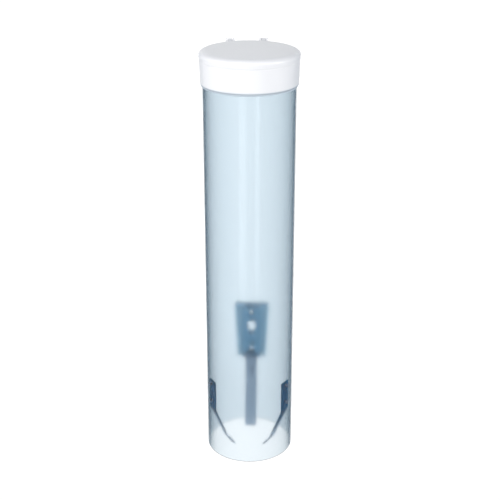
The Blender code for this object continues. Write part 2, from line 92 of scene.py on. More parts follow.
# Cap: the collar on the tube and the lid on its pins
LID_JOINT = next(joint for joint in frame["joints"] if joint["name"] == "lid_flip")
CAP_TURN = math.atan2(-LID_JOINT["axis"][1], -LID_JOINT["axis"][0])
COLLAR_LOW, COLLAR_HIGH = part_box("cap_collar")
COLLAR_BOTTOM = COLLAR_LOW.z - TUBE_LOW.z
COLLAR_SEAT = 0.002
COLLAR_TOP = TUBE_LENGTH + GAP + COLLAR_SEAT
SOCKET_RADIUS = TUBE_RADIUS + GAP
COLLAR_TOP_WALL = 0.0022
COLLAR_FOOT_WALL = 0.0017
COLLAR_LIP_WALL = 0.0003
COLLAR_TAPER = 0.0036
COLLAR_EDGE = 0.0004
COLLAR_LEDGE_REACH = 0.0006
LEDGE_RADIUS = TUBE_BORE - COLLAR_LEDGE_REACH
LID_LOW, LID_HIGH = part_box("flip_lid")
LID_TOP = LID_HIGH.z - TUBE_LOW.z
LID_BOTTOM = COLLAR_TOP + FINE_GAP
LID_RADIUS = (LID_HIGH.x - LID_LOW.x) / 2
LID_BEAD_PROUD = 0.0003
LID_EDGE_IN = 0.0075
LID_EDGE_DOWN = 0.0044
LID_TOP_WALL = 0.0022
LID_SKIRT_WALL = 0.0024
LID_PLUG_CLEARANCE = 0.0009
LID_PLUG_WALL = 0.0016
LID_PLUG_DROP = 0.003

# Hinge of the lid
HINGE_SPACING = 0.0314
HINGE_REACH = 0.0027
HINGE_DEPTH = LID_RADIUS + HINGE_REACH
HINGE_HEIGHT = LID_JOINT["pos_m"][2] - TUBE_LOW.z
EAR_RADIUS = COLLAR_HIGH.z - LID_JOINT["pos_m"][2]
EAR_ARC = (-30.0, 180.0)        # degrees of its round end
EAR_WALL = 0.0018
EAR_DROP = 0.011
KNUCKLE_RADIUS = 0.0022
KNUCKLE_ARC = (-110.0, 110.0)
KNUCKLE_WIDTH = 0.0038
ARM_HEIGHT = 0.0032
SMALL_EDGE = 0.0003             # rounding of small moulded edges
PIN_RADIUS = 0.001
PIN_PROUD = 0.0003
EAR_OFFSET = KNUCKLE_WIDTH / 2 + GAP + EAR_WALL / 2

# Fingers
FINGER_JOINTS = {joint["child"].split("_")[0]: joint for joint in frame["joints"]
                 if joint["name"].endswith("_finger_flex")}
FINGER_WIDTH = 0.012
PAD_OUTER = TUBE_BORE - GAP
PAD_WALL = 0.0015
PAD_BOTTOM = 0.0491
PAD_INNER = PAD_OUTER - PAD_WALL
PAD_CORNER = 0.002
BLADE_WALL = 0.001
BLADE_LEAN = math.radians(21.0)
BLADE_STRAIGHT = 0.036
BLADE_CURL_RADIUS = 0.028
BLADE_CURL = math.radians(31.0)
BLADE_TIP_CORNER = 0.0015
BEND_RADIUS = 0.008             # where the strip turns from pad to blade
BEND_REACH = 0.003              # the wall thins over this length either side of the bend
STRIP_EDGE = 0.0004             # rounding of the strip's long edges
STRIP_END = 0.3                 # what the square of the wall's share starts from at its ends
STRIP_STEP = 0.0006             # between two stations along the strip
STRIP_COLUMNS = 10              # across each flat side

# Finger rivets, heads outside the tube and tails sunk into the pads
FINGER_RIVET_HEIGHTS = {"lower": 0.0573, "upper": 0.0761}
REAR_FINGER_LIFT = 0.002
FINGER_RIVET_HEAD = 0.0019
FINGER_RIVET_DOME = 0.0007
FINGER_RIVET_SHANK = 0.0011
FINGER_RIVET_TAIL = 0.0019
FINGER_RIVET_TAIL_HEIGHT = 0.0004
FINGER_RIVET_SINK = 0.0008
TAIL_EDGE = 0.0001              # rounding of a rivet's tail

# Bracket and wall plate
BRACKET_LOW, BRACKET_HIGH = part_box("tube_bracket")
PLATE_LOW, PLATE_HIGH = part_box("wall_plate")
AXIS_DEPTH = -AXIS_Y
PLATE_BOTTOM = PLATE_LOW.z - TUBE_LOW.z
PLATE_TOP = PLATE_HIGH.z - TUBE_LOW.z
PLATE_TOP_WIDTH = PLATE_HIGH.x - PLATE_LOW.x
PLATE_FOOT_WIDTH = 0.0307
PLATE_WEB = 0.0025
PLATE_EDGE = 0.0006
PLATE_LEDGE = 0.0021
RAIL_DEPTH = 0.006
RAIL_WALL = 0.0026
RAIL_UNDERCUT = 0.002
BRACKET_BOTTOM = BRACKET_LOW.z - TUBE_LOW.z
BRACKET_TOP = BRACKET_HIGH.z - TUBE_LOW.z
BRACKET_BACK = AXIS_DEPTH - PLATE_WEB - GAP
BRACKET_FRONT = AXIS_DEPTH - PLATE_WEB - RAIL_DEPTH
SADDLE_WIDTH = 0.019
WINDOW_WIDTH = 0.0095
WINDOW_DROP = 0.0148            # from the plate's top down to the window's top in the bracket
WINDOW_HEIGHT = 0.0208          # from there down to the window's foot in the plate
WINDOW_STEP = 0.005             # how much lower the window's top is in the plate
WINDOW_CORNER = 0.0025
WINDOW_TOP = PLATE_TOP - WINDOW_DROP
WINDOW_BOTTOM = WINDOW_TOP - WINDOW_HEIGHT
BRACKET_WINDOW_WIDTH = 0.0082   # smaller than in the solid, as the photo shows it
BRACKET_WINDOW_LIFT = 0.005     # how much higher the window's foot is in the bracket
SLOT_INSET = 0.0086
SLOT_LENGTH = 0.009
SLOT_WIDTH = 0.0045
SLOT_SINK = 0.0012

# Bracket rivets, heads inside the tube
BRACKET_RIVET_INSET = 0.005
BRACKET_RIVET_HEAD = 0.003
BRACKET_RIVET_DOME = 0.0018
BRACKET_RIVET_SHANK = 0.0016
BRACKET_RIVET_TAIL = 0.0027
BRACKET_RIVET_TAIL_HEIGHT = 0.0009
BRACKET_RIVET_SINK = 0.002
REAR_PAD_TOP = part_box("finger_pad_rear")[1].z - TUBE_LOW.z
BRACKET_RIVET_HEIGHTS = {"lower": REAR_PAD_TOP + GAP + BRACKET_RIVET_HEAD,
                         "upper": BRACKET_TOP - BRACKET_RIVET_INSET}

# Painted shade on the collar's thin foot: the white greys down into a painted shadow line, with a
# painted bluish band below it for the tube seen through the thin lip: share of the taper, colour
CAP_WHITE = (0.83, 0.82, 0.83)
FOOT_PAINTED_SHADE = (
    (0.0, (0.66, 0.74, 0.81)),
    (0.25, (0.66, 0.74, 0.81)),
    (0.42, (0.38, 0.42, 0.47)),
    (0.58, (0.38, 0.42, 0.47)),
    (0.72, (0.68, 0.71, 0.74)),
    (1.0, CAP_WHITE),
)

# Painted light and shade on the side fingers: the blades' thin tips painted light, the blue
# deepening to a painted shade on the pads: share of the height
SIDE_FINGER_PAINTED_LIGHT = (
    (0.0, (0.97, 0.99, 1.0)),
    (0.35, (0.86, 0.94, 1.0)),
    (0.8, (0.14, 0.4, 0.6)),
    (1.0, (0.0, 0.26, 0.52)),
)

# Noise values between these make up the whole range that a socket follows
NOISE_LOW = 0.3
NOISE_HIGH = 0.7

# Camera
VIEW_TURN = math.radians(2.581)
VIEW_PITCH = math.radians(22.727)
VIEW_DISTANCE = 0.9391
VIEW_ASIDE = 0.0004
VIEW_HEIGHT = 0.6064
VIEW_LENS = 75.92               # mm, on a sensor of VIEW_SENSOR mm
VIEW_SENSOR = 36.0
VIEW_REACH = 60.0

# Stage: a pale floor, and a glowing white card that stands behind the wall plane
FLOOR_Z = -1.6
FLOOR_RADIUS = 2.2
FLOOR_STEPS = 96
FLOOR_COLOUR = (0.85, 0.85, 0.85)
CARD_X = -0.05
CARD_Y = 1.8
CARD_HALF_WIDTH = 0.8
CARD_TOP = 1.6
CARD_BEND = 0.3                 # how far its sides come forward
CARD_COLUMNS = 16
CARD_COLOUR = (0.02, 0.02, 0.02)
CARD_GLOW = 1.03                # at its sides
CARD_GLOW_MIDDLE = 1.33
CARD_GLOW_X = -0.13             # where it is brightest
CARD_GLOW_REACH = 0.36
CARD_GLOW_FOOT = 1.2            # in its middle, below the lower of CARD_GLOW_HEIGHTS
CARD_GLOW_HEIGHTS = (-1.15, -0.9)

# Light
SKY_FRONT = (-0.25, -1.0, 0.35)  # towards the brighter side of the world
SKY_FROM = -0.55                # cosines to it, between which the colour changes
SKY_TO = -0.05
SKY_BACK_COLOUR = (0.07, 0.13, 0.19)
SKY_FRONT_COLOUR = (0.19, 0.22, 0.25)
LIGHT_TARGET_Z = 0.1
HIGH_LIGHTS = ("softbox", "fill")  # only these also shine through the tube's wall
LIGHTS = (                      # name, watts, size, place
    ("softbox", 21.0, (2.2, 0.9), (-0.8, -1.35, 1.05)),
    ("fill", 7.5, (1.6, 0.9), (1.0, -1.28, 0.75)),
    ("left_strip", 1.9, (0.5, 0.55), (-0.4, -1.6, -0.33)),
    ("right_strip", 1.1, (0.3, 0.55), (0.59, -1.55, -0.33)),
    ("left_side", 12.5, (0.4, 0.6), (-1.51, -0.68, 0.55)),
    ("right_side", 12.5, (0.4, 0.6), (1.51, -0.68, 0.55)),
)

DISPENSER = Matrix.Translation((0.0, AXIS_Y, TUBE_LOW.z))
CAP = DISPENSER @ Matrix.Rotation(CAP_TURN, 4, "Z")
LID_AXIS = CAP @ Matrix.Translation((0.0, HINGE_DEPTH, HINGE_HEIGHT))
FACING_X = Matrix.Rotation(math.pi / 2, 4, "Z") @ Matrix.Rotation(math.pi / 2, 4, "X")
FACING_Y = Matrix.Rotation(math.pi / 2, 4, "X")
ALONG_Y = Matrix.Rotation(-math.pi / 2, 4, "X")
ALONG_X = Matrix.Rotation(math.pi / 2, 4, "Y")


# Materials

class Paint:
    """A Principled material whose sockets can follow noise or place in object space."""

    def __init__(self, name, colour, roughness, metallic=0.0):
        self.material = bpy.data.materials.new(name)
        self.material.use_nodes = True
        self.tree = self.material.node_tree
        self.shader = self.tree.nodes["Principled BSDF"]
        self.shader.inputs["Base Color"].default_value = (*colour, 1.0)
        self.shader.inputs["Roughness"].default_value = roughness
        self.shader.inputs["Metallic"].default_value = metallic
        self.space = self.tree.nodes.new("ShaderNodeTexCoord").outputs["Object"]

    def fix(self, **values):
        """Gives sockets a value that is the same all over."""
        for name, value in values.items():
            self.shader.inputs[name.replace("_", " ")].default_value = value

    def link(self, source, socket):
        self.tree.links.new(source, socket)

    def place(self, axis):
        """The place along an axis of the object, in metres."""
        split = self.tree.nodes.new("ShaderNodeSeparateXYZ")
        self.link(self.space, split.inputs["Vector"])
        return split.outputs[axis]

    def scaled(self, source, low, high, to_low=0.0, to_high=1.0):
        """A node that brings a source from one range to another."""
        scale = self.tree.nodes.new("ShaderNodeMapRange")
        scale.inputs["From Min"].default_value = low
        scale.inputs["From Max"].default_value = high
        scale.inputs["To Min"].default_value = to_low
        scale.inputs["To Max"].default_value = to_high
        self.link(source, scale.inputs["Value"])
        return scale

    def noise(self, size, stretch=(1.0, 1.0, 1.0), detail=2.0):
        """Noise whose grains are about this size, in metres, drawn out by stretch."""
        mapping = self.tree.nodes.new("ShaderNodeMapping")
        mapping.inputs["Scale"].default_value = [1.0 / (size * share) for share in stretch]
        texture = self.tree.nodes.new("ShaderNodeTexNoise")
        texture.inputs["Scale"].default_value = 1.0
        texture.inputs["Detail"].default_value = detail
        self.link(self.space, mapping.inputs["Vector"])
        self.link(mapping.outputs["Vector"], texture.inputs["Vector"])
        return texture.outputs["Fac"]

    def drive(self, name, source, low, high):
        """A socket follows a noise, from low to high."""
        scale = self.scaled(source, NOISE_LOW, NOISE_HIGH, low, high)
        self.link(scale.outputs["Result"], self.shader.inputs[name])

    def mix(self, source, low, high):
        """Two colours, each fixed or an output, mixed by a source from 0 to 1."""
        mix = self.tree.nodes.new("ShaderNodeMix")
        mix.data_type = "RGBA"
        self.link(source, mix.inputs["Factor"])
        for name, colour in (("A", low), ("B", high)):
            if isinstance(colour, tuple):
                mix.inputs[name].default_value = (*colour, 1.0)
            else:
                self.link(colour, mix.inputs[name])
        return mix.outputs["Result"]

    def along(self, axis, low, high):
        """0 to 1 from one place to another along an axis of the object."""
        return self.scaled(self.place(axis), low, high).outputs["Result"]

    def ramp(self, source, stops):
        """A colour that runs through (place, colour) stops."""
        ramp = self.tree.nodes.new("ShaderNodeValToRGB")
        elements = ramp.color_ramp.elements
        elements.remove(elements[1])
        for place, colour in stops[1:]:
            elements.new(place).color = (*colour, 1.0)
        elements[0].position = stops[0][0]
        elements[0].color = (*stops[0][1], 1.0)
        self.link(source, ramp.inputs["Fac"])
        return ramp.outputs["Color"]

    def colour(self, source):
        self.link(source, self.shader.inputs["Base Color"])

    def bump(self, source, strength, depth):
        bump = self.tree.nodes.new("ShaderNodeBump")
        bump.inputs["Strength"].default_value = strength
        bump.inputs["Distance"].default_value = depth
        self.link(source, bump.inputs["Height"])
        self.link(bump.outputs["Normal"], self.shader.inputs["Normal"])

    def glow(self, middle, reach, high, low, foot, heights):
        """The emission falls off along X, from high at the middle to low at the reach.

        The middle itself falls off from high to foot, between two heights.
        """
        away = self.tree.nodes.new("ShaderNodeMath")
        away.operation = "SUBTRACT"
        away.inputs[1].default_value = middle
        self.link(self.place("X"), away.inputs[0])
        size = self.tree.nodes.new("ShaderNodeMath")
        size.operation = "ABSOLUTE"
        self.link(away.outputs["Value"], size.inputs[0])
        rise = self.scaled(self.place("Z"), *heights, foot, high)
        rise.interpolation_type = "SMOOTHSTEP"
        fall = self.scaled(size.outputs["Value"], 0.0, reach, high, low)
        fall.interpolation_type = "SMOOTHSTEP"
        self.link(rise.outputs["Result"], fall.inputs["To Min"])
        self.link(fall.outputs["Result"], self.shader.inputs["Emission Strength"])

    def absorb(self, colour, density):
        volume = self.tree.nodes.new("ShaderNodeVolumeAbsorption")
        volume.inputs["Color"].default_value = (*colour, 1.0)
        volume.inputs["Density"].default_value = density
        output = self.tree.nodes["Material Output"]
        self.link(volume.outputs["Volume"], output.inputs["Volume"])


def frosted_plastic():
    paint = Paint("frosted_tube", (0.96, 0.985, 1.0), 0.15)
    paint.fix(Transmission_Weight=0.97, IOR=1.45)
    drawn = paint.noise(0.0016, stretch=(1.0, 1.0, 60.0), detail=3.0)
    paint.drive("Roughness", drawn, 0.13, 0.17)
    paint.absorb((0.38, 0.57, 0.68), 160.0)
    return paint.material


def white_plastic():
    paint = Paint("cap_white", CAP_WHITE, 0.34)
    # Painted shade and a painted shadow line on the collar's foot, by height up its taper
    taper = paint.along("Z", COLLAR_LOW.z, COLLAR_LOW.z + COLLAR_TAPER)
    paint.colour(paint.ramp(taper, FOOT_PAINTED_SHADE))
    paint.drive("Roughness", paint.noise(0.004), 0.3, 0.38)
    paint.bump(paint.noise(0.0009), 0.06, 0.00005)
    return paint.material


def finger_plastic():
    paint = Paint("finger_blue", (0.7, 0.8, 0.9), 0.8)
    paint.fix(Transmission_Weight=0.95, IOR=1.4)
    # Painted light on the side fingers' blade tips and painted shade on their pads, by height
    height = paint.along("Z", TUBE_LOW.z, TUBE_LOW.z + PAD_BOTTOM)
    sides = paint.ramp(height, SIDE_FINGER_PAINTED_LIGHT)
    # The rear finger gets its own even, lighter blue, split from the side fingers by depth: a
    # painted lit copy of the blue beside the painted shade of the side pads; the noise in it is
    # random tone
    rear = paint.mix(paint.noise(0.006), (0.53, 0.63, 0.74), (0.57, 0.67, 0.77))
    paint.colour(paint.mix(paint.along("Y", AXIS_Y - GAP, AXIS_Y), sides, rear))
    paint.drive("Roughness", paint.noise(0.0012), 0.74, 0.86)
    paint.bump(paint.noise(0.0005), 0.1, 0.00005)
    paint.absorb((0.0, 0.2, 0.45), 110.0)
    return paint.material


def bracket_plastic():
    paint = Paint("bracket_blue", (0.95, 0.98, 1.0), 0.4)
    paint.fix(Transmission_Weight=0.85, IOR=1.2)
    paint.colour(paint.mix(paint.noise(0.01), (0.74, 0.86, 0.94), (0.8, 0.9, 0.97)))
    paint.drive("Roughness", paint.noise(0.0012), 0.34, 0.46)
    paint.bump(paint.noise(0.0006), 0.12, 0.00006)
    paint.absorb((0.26, 0.7, 0.84), 110.0)
    return paint.material


def rivet_plastic():
    paint = Paint("rivet_blue", (0.52, 0.63, 0.73), 0.4)
    paint.fix(Transmission_Weight=0.92, IOR=1.45)
    paint.colour(paint.mix(paint.noise(0.002), (0.5, 0.61, 0.71), (0.54, 0.65, 0.75)))
    paint.drive("Roughness", paint.noise(0.0006), 0.34, 0.46)
    paint.absorb((0.09, 0.233, 0.489), 450.0)
    return paint.material


def rivet_metal():
    paint = Paint("rivet_metal", (0.93, 0.95, 0.97), 0.2, 1.0)
    paint.drive("Roughness", paint.noise(0.0004), 0.16, 0.24)
    paint.bump(paint.noise(0.0003), 0.15, 0.00003)
    return paint.material


def pin_steel():
    paint = Paint("pin_steel", (0.62, 0.64, 0.66), 0.3, 1.0)
    paint.drive("Roughness", paint.noise(0.0003, stretch=(20.0, 1.0, 1.0)), 0.24, 0.38)
    return paint.material


MATERIALS = {
    "frosted_tube": frosted_plastic(),
    "cap_white": white_plastic(),
    "finger_blue": finger_plastic(),
    "bracket_blue": bracket_plastic(),
    "rivet_blue": rivet_plastic(),
    "rivet_metal": rivet_metal(),
    "pin_steel": pin_steel(),
}


# Meshes

def placed(name, data):
    """An object for a mesh, curve, light or camera, in the scene."""
    item = bpy.data.objects.new(name, data)
    bpy.context.scene.collection.objects.link(item)
    return item


def baked(item):
    """Applies what modifiers or curve settings an object has, and returns a mesh object."""
    bpy.context.view_layer.update()
    graph = bpy.context.evaluated_depsgraph_get()
    mesh = bpy.data.meshes.new_from_object(item.evaluated_get(graph))
    name = item.name
    matrix = item.matrix_world.copy()
    bpy.data.objects.remove(item, do_unlink=True)
    mesh.name = name
    fresh = placed(name, mesh)
    fresh.matrix_world = matrix
    return fresh


def settled(item, matrix):
    """Moves a mesh into place, so that its object stays at the origin."""
    item.data.transform(matrix @ item.matrix_world)
    item.matrix_world = Matrix.Identity(4)
    return item


def tidied(item):
    """Merges points that meet, and turns all faces outwards."""
    work = bmesh.new()
    work.from_mesh(item.data)
    bmesh.ops.remove_doubles(work, verts=work.verts, dist=WELD)
    bmesh.ops.recalc_face_normals(work, faces=work.faces)
    work.to_mesh(item.data)
    work.free()
    item.data.materials.clear()
    return item


def turned(name, profile, steps, matrix, closed=False):
    """Turns a profile of (radius, height) points about Z, outer side first, top to bottom."""
    mesh = bpy.data.meshes.new(name)
    count = len(profile)
    edges = [(i, i + 1) for i in range(count - 1)]
    if closed:
        edges.append((count - 1, 0))
    mesh.from_pydata([(radius, 0.0, height) for radius, height in profile], edges, [])
    item = placed(name, mesh)
    screw = item.modifiers.new("turn", "SCREW")
    screw.steps = steps
    screw.render_steps = steps
    screw.use_merge_vertices = True
    screw.merge_threshold = WELD
    return settled(baked(item), matrix)


def prism(name, outline, thickness, matrix, edge=0.0):
    """A flat outline with thickness and, where given, rounded edges."""
    curve = bpy.data.curves.new(name, "CURVE")
    curve.dimensions = "2D"
    curve.fill_mode = "BOTH"
    curve.extrude = thickness / 2 - edge
    curve.bevel_depth = edge
    curve.bevel_resolution = CURVE_EDGE_STEPS
    curve.offset = -edge
    spline = curve.splines.new("POLY")
    spline.points.add(len(outline) - 1)
    for point, (across, up) in zip(spline.points, outline):
        point.co = (across, up, 0.0, 1.0)
    spline.use_cyclic_u = True
    return settled(tidied(baked(placed(name, curve))), matrix)


def block(name, half_width, front, back, bottom, top, matrix, edge=0.0):
    """A box whose half width is a function of depth and height, with rounded edges."""
    mesh = bpy.data.meshes.new(name)
    work = bmesh.new()
    bmesh.ops.create_cube(work, size=1.0)
    for vertex in work.verts:
        depth = back if vertex.co.y > 0.0 else front
        height = top if vertex.co.z > 0.0 else bottom
        side = 1.0 if vertex.co.x > 0.0 else -1.0
        vertex.co = (side * half_width(depth, height), depth, height)
    if edge:
        bmesh.ops.bevel(work, geom=work.edges[:], offset=edge, segments=EDGE_STEPS,
                        profile=0.5, affect="EDGES")
    work.to_mesh(mesh)
    work.free()
    return settled(placed(name, mesh), matrix)


def joined(item, others, operation="DIFFERENCE"):
    """Adds to, or cuts from, an object, and uses the others up."""
    for other in others:
        change = item.modifiers.new(operation.lower(), "BOOLEAN")
        change.operation = operation
        change.solver = "EXACT"
        change.object = other
        item = baked(item)
        bpy.data.objects.remove(other, do_unlink=True)
    return item


def smooth(item):
    """Shades a mesh smooth, apart from its sharp edges."""
    item.data.shade_smooth()
    item.data.set_sharp_from_angle(angle=math.radians(SHARP_ANGLE))
    weigh = item.modifiers.new("weigh", "WEIGHTED_NORMAL")
    weigh.keep_sharp = True
    return baked(item)


def dress(item, slot, body, *nodes):
    """Gives a finished piece its material and, where given, its body, and hides the CAD nodes it
    stands for.
    """
    item.data.materials.clear()
    item.data.materials.append(MATERIALS[slot])
    if body:
        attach(item, body)
    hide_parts(*nodes)


def arc(centre, radius, start, end, steps, squash=1.0):
    """Points on an arc, angles in degrees; squash flattens it upwards."""
    points = []
    for i in range(steps + 1):
        angle = math.radians(start + (end - start) * i / steps)
        points.append((centre[0] + radius * math.cos(angle),
                       centre[1] + radius * squash * math.sin(angle)))
    return points


def sag(radius, reach):
    """How far a round wall of this radius falls away over a reach to one side."""
    return radius - math.sqrt(radius ** 2 - reach ** 2)


def rounded_box(width, bottom, top, corner):
    """The outline of an upright box with round corners."""
    side = width / 2 - corner
    points = arc((side, bottom + corner), corner, -90.0, 0.0, CORNER_STEPS)
    points += arc((side, top - corner), corner, 0.0, 90.0, CORNER_STEPS)
    points += arc((-side, top - corner), corner, 90.0, 180.0, CORNER_STEPS)
    points += arc((-side, bottom + corner), corner, 180.0, 270.0, CORNER_STEPS)
    return points


def slot_outline(length, width, height):
    """The outline of a level slot with round ends, its middle at a height."""
    half = (length - width) / 2
    points = arc((half, height), width / 2, -90.0, 90.0, SLOT_STEPS)
    return points + arc((-half, height), width / 2, 90.0, 270.0, SLOT_STEPS)


def drill(radius, start, end, matrix, height):
    """A round cutter along Y."""
    profile = [(0.0, end), (radius, end), (radius, start), (0.0, start)]
    return turned("drill", profile, RIVET_STEPS,
                  matrix @ Matrix.Translation((0.0, 0.0, height)) @ ALONG_Y)


def finger_frame(side):
    """The finger's own frame: Y runs out from the tube's axis through the pad."""
    axis = FINGER_JOINTS[side]["axis"]
    lift = REAR_FINGER_LIFT if side == "rear" else 0.0
    turn = math.atan2(axis[1], axis[0])
    return DISPENSER @ Matrix.Rotation(turn, 4, "Z") @ Matrix.Translation((0.0, 0.0, lift))


# Tube and cap

def make_tube():
    outer = [(TUBE_RADIUS, TUBE_EDGE + (TUBE_LENGTH - 2 * TUBE_EDGE) * (1 - i / TUBE_ROWS))
             for i in range(TUBE_ROWS + 1)]
    inner = [(TUBE_BORE, height) for _, height in reversed(outer)]
    outside = TUBE_RADIUS - TUBE_EDGE
    inside = TUBE_BORE + TUBE_EDGE
    top = TUBE_LENGTH - TUBE_EDGE
    profile = arc((outside, top), TUBE_EDGE, 90.0, 0.0, EDGE_STEPS)[:-1]
    profile += outer
    profile += arc((outside, TUBE_EDGE), TUBE_EDGE, 0.0, -90.0, EDGE_STEPS)[1:]
    profile += arc((inside, TUBE_EDGE), TUBE_EDGE, 270.0, 180.0, EDGE_STEPS)[:-1]
    profile += inner
    profile += arc((inside, top), TUBE_EDGE, 180.0, 90.0, EDGE_STEPS)[1:]
    tube = turned("tube_shell", profile, TUBE_STEPS, DISPENSER, closed=True)
    start = TUBE_BORE - OVERRUN
    end = TUBE_RADIUS + OVERRUN
    drills = [drill(BRACKET_RIVET_SHANK + GAP, start, end, DISPENSER, height)
              for height in BRACKET_RIVET_HEIGHTS.values()]
    for side in FINGER_JOINTS:
        drills += [drill(FINGER_RIVET_SHANK + GAP, start, end, finger_frame(side), height)
                   for height in FINGER_RIVET_HEIGHTS.values()]
    tube = smooth(joined(tube, drills))
    dress(tube, "frosted_tube", "dispenser", "tube")


def make_collar():
    top_radius = SOCKET_RADIUS + COLLAR_TOP_WALL
    foot_radius = SOCKET_RADIUS + COLLAR_FOOT_WALL
    lip_radius = SOCKET_RADIUS + COLLAR_LIP_WALL
    foot = COLLAR_BOTTOM + COLLAR_TAPER
    reach = foot_radius - lip_radius
    profile = [(0.0, COLLAR_TOP)]
    profile += arc((top_radius - COLLAR_EDGE, COLLAR_TOP - COLLAR_EDGE), COLLAR_EDGE, 90.0, 0.0,
                   COLLAR_EDGE_STEPS)
    profile += arc((lip_radius, foot), reach, 0.0, -90.0, COLLAR_FOOT_STEPS,
                   COLLAR_TAPER / reach)
    profile += [(0.0, COLLAR_BOTTOM)]
    collar = turned("collar_ring", profile, CAP_STEPS, CAP)

    root = TUBE_RADIUS / 2
    foot_height = COLLAR_TOP - EAR_DROP
    outline = [(root, foot_height), (TUBE_RADIUS, foot_height)]
    outline += arc((HINGE_DEPTH, HINGE_HEIGHT), EAR_RADIUS, *EAR_ARC, HINGE_STEPS)
    shoulder = COLLAR_TOP - COLLAR_EDGE
    outline += [(HINGE_DEPTH - EAR_RADIUS, shoulder), (root, shoulder)]
    ears = []
    for hinge_side in (-1.0, 1.0):
        for ear_side in (-1.0, 1.0):
            across = hinge_side * HINGE_SPACING / 2 + ear_side * EAR_OFFSET
            ears.append(prism("ear", outline, EAR_WALL,
                              CAP @ Matrix.Translation((across, 0.0, 0.0)) @ FACING_X, SMALL_EDGE))
    collar = joined(collar, ears, "UNION")

    top = COLLAR_TOP + OVERRUN
    ledge = TUBE_LENGTH + GAP
    bore = [(0.0, top), (LEDGE_RADIUS, top), (LEDGE_RADIUS, ledge), (SOCKET_RADIUS, ledge),
            (SOCKET_RADIUS, COLLAR_BOTTOM - OVERRUN), (0.0, COLLAR_BOTTOM - OVERRUN)]
    collar = joined(collar, [turned("bore", bore, CAP_STEPS, CAP), pin_drill()])
    dress(smooth(collar), "cap_white", "cap", "cap_collar")


def pin_drill():
    reach = HINGE_SPACING / 2 + EAR_OFFSET + EAR_WALL + OVERRUN
    radius = PIN_RADIUS + GAP
    profile = [(0.0, reach), (radius, reach), (radius, -reach), (0.0, -reach)]
    return turned("pin_drill", profile, RIVET_STEPS, LID_AXIS @ ALONG_X)


def make_lid():
    rim = LID_RADIUS - LID_BEAD_PROUD
    under = LID_TOP - LID_TOP_WALL
    bead = LID_TOP - LID_EDGE_DOWN
    skirt = rim - LID_SKIRT_WALL
    plug = LEDGE_RADIUS - LID_PLUG_CLEARANCE
    plug_inner = plug - LID_PLUG_WALL
    plug_bottom = LID_BOTTOM - LID_PLUG_DROP
    flat = LID_RADIUS - LID_EDGE_IN
    profile = [(0.0, LID_TOP)]
    profile += arc((flat, bead), LID_EDGE_IN, 90.0, 0.0, LID_EDGE_STEPS,
                   LID_EDGE_DOWN / LID_EDGE_IN)
    profile += arc((rim - SMALL_EDGE, LID_BOTTOM + SMALL_EDGE), SMALL_EDGE, 0.0, -90.0,
                   EDGE_STEPS)
    profile += [(skirt, LID_BOTTOM), (skirt, under), (plug, under), (plug, plug_bottom),
                (plug_inner, plug_bottom), (plug_inner, under), (0.0, under)]
    lid = turned("lid_disc", profile, CAP_STEPS, CAP)

    outer_side = HINGE_SPACING / 2 + KNUCKLE_WIDTH / 2
    root = math.sqrt(skirt ** 2 - outer_side ** 2) - HINGE_DEPTH
    outline = [(root, 0.0), (root, -ARM_HEIGHT)]
    outline += arc((0.0, 0.0), KNUCKLE_RADIUS, *KNUCKLE_ARC, HINGE_STEPS)
    arms = []
    for side in (-1.0, 1.0):
        place = LID_AXIS @ Matrix.Translation((side * HINGE_SPACING / 2, 0.0, 0.0)) @ FACING_X
        arms.append(prism("arm", outline, KNUCKLE_WIDTH, place, SMALL_EDGE))
    lid = joined(lid, arms, "UNION")
    lid = joined(lid, [pin_drill()])
    dress(smooth(lid), "cap_white", "lid", "flip_lid")


def make_hinge_pins():
    half = EAR_OFFSET + EAR_WALL / 2 + PIN_PROUD
    edge = SMALL_EDGE
    profile = [(0.0, half)]
    profile += arc((PIN_RADIUS - edge, half - edge), edge, 90.0, 0.0, EDGE_STEPS)
    profile += arc((PIN_RADIUS - edge, edge - half), edge, 0.0, -90.0, EDGE_STEPS)
    profile += [(0.0, -half)]
    for side, sign in (("left", -1.0), ("right", 1.0)):
        place = LID_AXIS @ Matrix.Translation((sign * HINGE_SPACING / 2, 0.0, 0.0)) @ ALONG_X
        pin = smooth(turned("pin_" + side, profile, RIVET_STEPS, place))
        dress(pin, "pin_steel", "cap", "hinge_pin_" + side)


# Fingers

def strip_line(pad_top, flex_radius, flex_height):
    """The middle line of a finger as (depth, height, lean, run), run being 0 at the bend."""
    half_bend = BEND_RADIUS * math.tan(BLADE_LEAN / 2)
    line = []
    upright = pad_top - flex_height - half_bend
    count = math.ceil(upright / STRIP_STEP)
    for i in range(count):
        run = upright * (1 - i / count)
        line.append((flex_radius, flex_height + half_bend + run, 0.0, -half_bend - run))
    count = math.ceil(BEND_RADIUS * BLADE_LEAN / STRIP_STEP)
    for i in range(count):
        lean = BLADE_LEAN * i / count
        line.append((flex_radius - BEND_RADIUS * (1 - math.cos(lean)),
                     flex_height + half_bend - BEND_RADIUS * math.sin(lean), lean,
                     half_bend * (2 * i / count - 1)))
    count = math.ceil((BLADE_STRAIGHT - half_bend) / STRIP_STEP)
    for i in range(count):
        run = half_bend + (BLADE_STRAIGHT - half_bend) * i / count
        line.append((flex_radius - run * math.sin(BLADE_LEAN),
                     flex_height - run * math.cos(BLADE_LEAN), BLADE_LEAN, run))
    depth = flex_radius - BLADE_STRAIGHT * math.sin(BLADE_LEAN)
    height = flex_height - BLADE_STRAIGHT * math.cos(BLADE_LEAN)
    count = math.ceil(BLADE_CURL_RADIUS * BLADE_CURL / STRIP_STEP)
    for i in range(count + 1):
        lean = BLADE_LEAN + BLADE_CURL * i / count
        line.append((depth - BLADE_CURL_RADIUS * (math.cos(BLADE_LEAN) - math.cos(lean)),
                     height - BLADE_CURL_RADIUS * (math.sin(lean) - math.sin(BLADE_LEAN)), lean,
                     BLADE_STRAIGHT + BLADE_CURL_RADIUS * BLADE_CURL * i / count))
    return line


